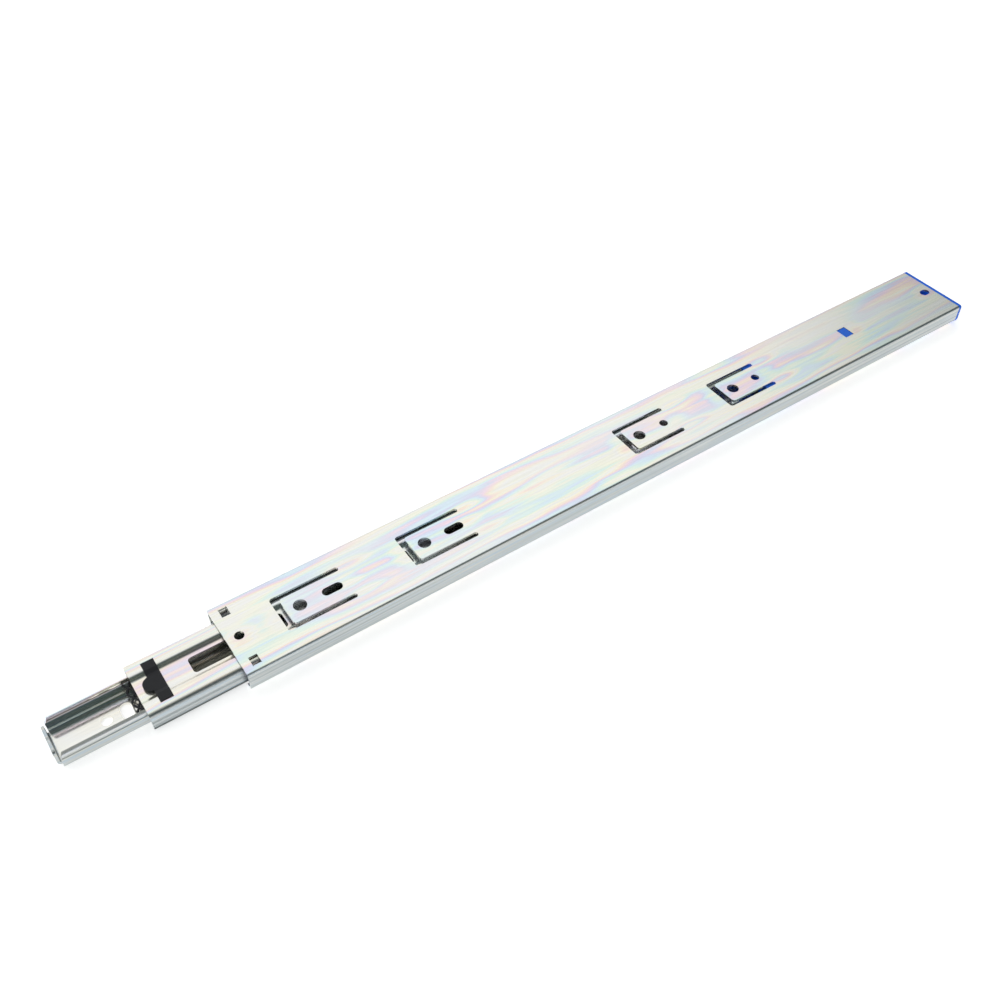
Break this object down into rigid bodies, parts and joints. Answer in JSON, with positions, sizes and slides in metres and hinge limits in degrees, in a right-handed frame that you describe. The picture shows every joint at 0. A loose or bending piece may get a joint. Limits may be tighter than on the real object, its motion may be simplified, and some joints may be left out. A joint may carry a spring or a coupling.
{
  "type": "cabinet drawer slide",
  "caption": "Full-extension ball-bearing drawer slide with three nested steel members, a blue soft-close unit at the rear and a black clip at the front, drawn partly out.",
  "frame": {"origin": "on the cabinet member's flat mounting face, at the middle of its front edge", "axes": "+X runs along the slide to the rear, +Z points out of the mounting face into the cabinet wall, Y runs across the slide"},
  "size_m": [0.529, 0.042, 0.0127],
  "materials": {
    "zinc_sheet": "bright zinc plate with a pale passivated tint",
    "cage_steel": "plain steel strip",
    "ball_steel": "polished",
    "blue_plastic": "moulded, satin",
    "black_plastic": "moulded, matte",
    "rubber": "matte",
    "damper_plastic": "moulded",
    "carriage_plastic": "moulded acetal",
    "pin_steel": "drawn steel"
  },
  "bodies": {
    "cabinet": {"cabinet_member": "zinc_sheet", "closer_housing": "blue_plastic", "housing_cover": "blue_plastic", "rear_buffer": "rubber", "damper_cylinder": "damper_plastic", "damper_seal": "rubber", "spring_anchor": "pin_steel", "closing_spring": "pin_steel"},
    "intermediate": {"intermediate_member": "zinc_sheet", "hold_in_clip": "black_plastic", "front_bumper": "black_plastic"},
    "outer_cage": {"outer_cage_left": "cage_steel", "outer_cage_right": "cage_steel", "outer_balls_left": "ball_steel", "outer_balls_right": "ball_steel"},
    "inner_cage": {"inner_cage_left": "cage_steel", "inner_cage_right": "cage_steel", "inner_balls_left": "ball_steel", "inner_balls_right": "ball_steel"},
    "drawer": {"drawer_member": "zinc_sheet", "catch_post": "pin_steel", "lever_rivet": "pin_steel"},
    "release_lever": {"release_lever": "black_plastic"},
    "carriage": {"carriage": "carriage_plastic", "pawl_pin": "pin_steel", "damper_rod": "pin_steel", "damper_piston": "damper_plastic"},
    "catch_pawl": {"catch_pawl": "carriage_plastic"}
  },
  "joints": [
    {"name": "intermediate_slide", "type": "slide", "parent": "cabinet", "child": "intermediate", "axis": [-1, 0, 0], "range_m": [-0.047, 0.178]},
    {"name": "drawer_slide", "type": "slide", "parent": "intermediate", "child": "drawer", "axis": [-1, 0, 0], "range_m": [-0.032, 0.193]},
    {"name": "outer_cage_roll", "type": "slide", "parent": "cabinet", "child": "outer_cage", "axis": [-1, 0, 0], "range_m": [-0.0235, 0.089]},
    {"name": "inner_cage_roll", "type": "slide", "parent": "intermediate", "child": "inner_cage", "axis": [-1, 0, 0], "range_m": [-0.016, 0.0965]},
    {"name": "carriage_slide", "type": "slide", "parent": "cabinet", "child": "carriage", "axis": [1, 0, 0], "range_m": [0, 0.045], "deforming": ["closing_spring"]},
    {"name": "pawl_hinge", "type": "hinge", "parent": "carriage", "child": "catch_pawl", "pos_m": [0.315, 0, -0.0055], "axis": [0, 1, 0], "range_deg": [0, 12]},
    {"name": "lever_hinge", "type": "hinge", "parent": "drawer", "child": "release_lever", "pos_m": [0.198, 0, -0.0104], "axis": [0, 0, 1], "range_deg": [0, 10], "stiffness_Nm_per_rad": 0.05}
  ],
  "couplings": [
    {"joint": "outer_cage_roll", "follows": "intermediate_slide", "ratio": 0.5},
    {"joint": "inner_cage_roll", "follows": "drawer_slide", "ratio": 0.5}
  ]
}
